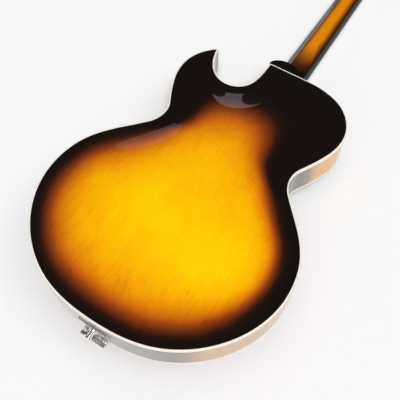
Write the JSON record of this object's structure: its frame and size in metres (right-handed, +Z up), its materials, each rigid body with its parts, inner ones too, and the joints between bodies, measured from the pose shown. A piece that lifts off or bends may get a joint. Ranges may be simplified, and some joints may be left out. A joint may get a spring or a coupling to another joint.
{
  "type": "archtop electric guitar",
  "caption": "Hollow arched guitar body with one pointed cutaway, sunburst back, bound edges, glued neck, trapeze tailpiece, turning tuners, knobs and selector, lying face down.",
  "frame": {"origin": "on the floor under the middle of the bounding box, the guitar lying face down on its strings", "axes": "+Y from the tail to the headstock, +X to the bass side, +Z up out of the back"},
  "size_m": [0.406, 1.065, 0.1172],
  "materials": {
    "lacquered_maple": "gloss sunburst lacquer",
    "cream_binding": "gloss",
    "bare_spruce": "bare",
    "block_mahogany": "bare",
    "neck_mahogany": "gloss sunburst lacquer",
    "rosewood": "oiled",
    "nickel": "polished nickel",
    "steel": "polished",
    "bone": "polished",
    "pearl_inlay": "polished",
    "black_plastic": "gloss",
    "amber_plastic": "gloss",
    "coil_assembly": "matt",
    "pot_metal": "plain",
    "lead_jacket": "braided"
  },
  "bodies": {
    "guitar": {"control_pots": "pot_metal", "selector_switch": "black_plastic", "pickup_covers": "nickel", "pickup_coils": "coil_assembly", "pole_screws": "steel", "pickup_rings": "black_plastic", "back_plate": "lacquered_maple", "top_plate": "lacquered_maple", "back_binding": "cream_binding", "top_binding": "cream_binding", "cutaway_side": "lacquered_maple", "bass_side": "lacquered_maple", "treble_side": "lacquered_maple", "neck_block": "block_mahogany", "tail_block": "block_mahogany", "linings": "bare_spruce", "tone_bars": "bare_spruce", "frets": "steel", "fret_markers": "pearl_inlay", "fingerboard": "rosewood", "fingerboard_binding": "cream_binding", "truss_rod": "steel", "neck": "neck_mahogany", "headplate": "black_plastic", "truss_rod_cover": "black_plastic", "tuner_bushings": "nickel", "tuner_housings": "nickel", "strings": "steel", "nut": "bone", "bridge_posts": "nickel", "bridge_base": "rosewood", "tailpiece_hanger": "nickel", "tailpiece_pin": "nickel", "tailpiece_trapeze": "nickel", "strap_button": "nickel", "jack_plate": "nickel", "output_jack": "nickel", "pickguard": "black_plastic", "wiring_leads": "lead_jacket", "wood_screws": "steel"},
    "tuner_key_1": {"tuner_key_1": "nickel"},
    "tuner_key_2": {"tuner_key_2": "nickel"},
    "tuner_key_3": {"tuner_key_3": "nickel"},
    "tuner_key_4": {"tuner_key_4": "nickel"},
    "tuner_key_5": {"tuner_key_5": "nickel"},
    "tuner_key_6": {"tuner_key_6": "nickel"},
    "tuner_post_1": {"tuner_post_1": "nickel"},
    "tuner_post_2": {"tuner_post_2": "nickel"},
    "tuner_post_3": {"tuner_post_3": "nickel"},
    "tuner_post_4": {"tuner_post_4": "nickel"},
    "tuner_post_5": {"tuner_post_5": "nickel"},
    "tuner_post_6": {"tuner_post_6": "nickel"},
    "knob_neck_volume": {"knob_neck_volume": "amber_plastic"},
    "knob_bridge_volume": {"knob_bridge_volume": "amber_plastic"},
    "knob_neck_tone": {"knob_neck_tone": "amber_plastic"},
    "knob_bridge_tone": {"knob_bridge_tone": "amber_plastic"},
    "selector_lever": {"selector_lever": "amber_plastic"},
    "bridge_saddle": {"bridge_saddle": "rosewood"},
    "bridge_wheel_bass": {"bridge_wheel_bass": "nickel"},
    "bridge_wheel_treble": {"bridge_wheel_treble": "nickel"}
  },
  "joints": [
    {"name": "key_turn_1", "type": "hinge", "parent": "guitar", "child": "tuner_key_1", "pos_m": [0.0255, 0.39831, 0.04096], "axis": [1, 0, 0], "continuous": true},
    {"name": "post_turn_1", "type": "hinge", "parent": "guitar", "child": "tuner_post_1", "pos_m": [0.0255, 0.39432, 0.02224], "axis": [0, -0.2419, 0.9703], "continuous": true},
    {"name": "key_turn_2", "type": "hinge", "parent": "guitar", "child": "tuner_key_2", "pos_m": [0.0255, 0.43906, 0.05112], "axis": [1, 0, 0], "continuous": true},
    {"name": "post_turn_2", "type": "hinge", "parent": "guitar", "child": "tuner_post_2", "pos_m": [0.0255, 0.43507, 0.0324], "axis": [0, -0.2419, 0.9703], "continuous": true},
    {"name": "key_turn_3", "type": "hinge", "parent": "guitar", "child": "tuner_key_3", "pos_m": [0.0255, 0.47981, 0.06128], "axis": [1, 0, 0], "continuous": true},
    {"name": "post_turn_3", "type": "hinge", "parent": "guitar", "child": "tuner_post_3", "pos_m": [0.0255, 0.47582, 0.04256], "axis": [0, -0.2419, 0.9703], "continuous": true},
    {"name": "key_turn_4", "type": "hinge", "parent": "guitar", "child": "tuner_key_4", "pos_m": [-0.0255, 0.39831, 0.04096], "axis": [1, 0, 0], "continuous": true},
    {"name": "post_turn_4", "type": "hinge", "parent": "guitar", "child": "tuner_post_4", "pos_m": [-0.0255, 0.39432, 0.02224], "axis": [0, -0.2419, 0.9703], "continuous": true},
    {"name": "key_turn_5", "type": "hinge", "parent": "guitar", "child": "tuner_key_5", "pos_m": [-0.0255, 0.43906, 0.05112], "axis": [1, 0, 0], "continuous": true},
    {"name": "post_turn_5", "type": "hinge", "parent": "guitar", "child": "tuner_post_5", "pos_m": [-0.0255, 0.43507, 0.0324], "axis": [0, -0.2419, 0.9703], "continuous": true},
    {"name": "key_turn_6", "type": "hinge", "parent": "guitar", "child": "tuner_key_6", "pos_m": [-0.0255, 0.47981, 0.06128], "axis": [1, 0, 0], "continuous": true},
    {"name": "post_turn_6", "type": "hinge", "parent": "guitar", "child": "tuner_post_6", "pos_m": [-0.0255, 0.47582, 0.04256], "axis": [0, -0.2419, 0.9703], "continuous": true},
    {"name": "neck_volume_turn", "type": "hinge", "parent": "guitar", "child": "knob_neck_volume", "pos_m": [-0.08791, -0.33926, 0.02705], "axis": [-0.0478, -0.0511, -0.9975], "range_deg": [0, 270]},
    {"name": "bridge_volume_turn", "type": "hinge", "parent": "guitar", "child": "knob_bridge_volume", "pos_m": [-0.0818, -0.39192, 0.03056], "axis": [-0.048, -0.0963, -0.9942], "range_deg": [0, 270]},
    {"name": "neck_tone_turn", "type": "hinge", "parent": "guitar", "child": "knob_neck_tone", "pos_m": [-0.13315, -0.3469, 0.03131], "axis": [-0.1305, -0.052, -0.9901], "range_deg": [0, 270]},
    {"name": "bridge_tone_turn", "type": "hinge", "parent": "guitar", "child": "knob_bridge_tone", "pos_m": [-0.12488, -0.40225, 0.0355], "axis": [-0.1284, -0.1365, -0.9823], "range_deg": [0, 270]},
    {"name": "selector_tilt", "type": "hinge", "parent": "guitar", "child": "selector_lever", "pos_m": [0.09497, -0.066, 0.02271], "axis": [0.9944, -0.001, 0.1061], "range_deg": [-14, 14]},
    {"name": "saddle_slide", "type": "slide", "parent": "guitar", "child": "bridge_saddle", "axis": [0, 0, 1], "range_m": [0, 0.0014]},
    {"name": "bass_wheel_turn", "type": "hinge", "parent": "bridge_saddle", "child": "bridge_wheel_bass", "pos_m": [0.037, -0.27814, 0.01036], "axis": [0, 0, 1], "range_deg": [0, 720]},
    {"name": "treble_wheel_turn", "type": "hinge", "parent": "bridge_saddle", "child": "bridge_wheel_treble", "pos_m": [-0.037, -0.27814, 0.01036], "axis": [0, 0, 1], "range_deg": [0, 720]}
  ],
  "couplings": [
    {"joint": "post_turn_1", "follows": "key_turn_1", "ratio": 0.071429},
    {"joint": "post_turn_2", "follows": "key_turn_2", "ratio": 0.071429},
    {"joint": "post_turn_3", "follows": "key_turn_3", "ratio": 0.071429},
    {"joint": "post_turn_4", "follows": "key_turn_4", "ratio": -0.071429},
    {"joint": "post_turn_5", "follows": "key_turn_5", "ratio": -0.071429},
    {"joint": "post_turn_6", "follows": "key_turn_6", "ratio": -0.071429},
    {"joint": "treble_wheel_turn", "follows": "bass_wheel_turn", "ratio": 1},
    {"joint": "saddle_slide", "follows": "bass_wheel_turn", "m_per_rad": 0.00011141}
  ]
}
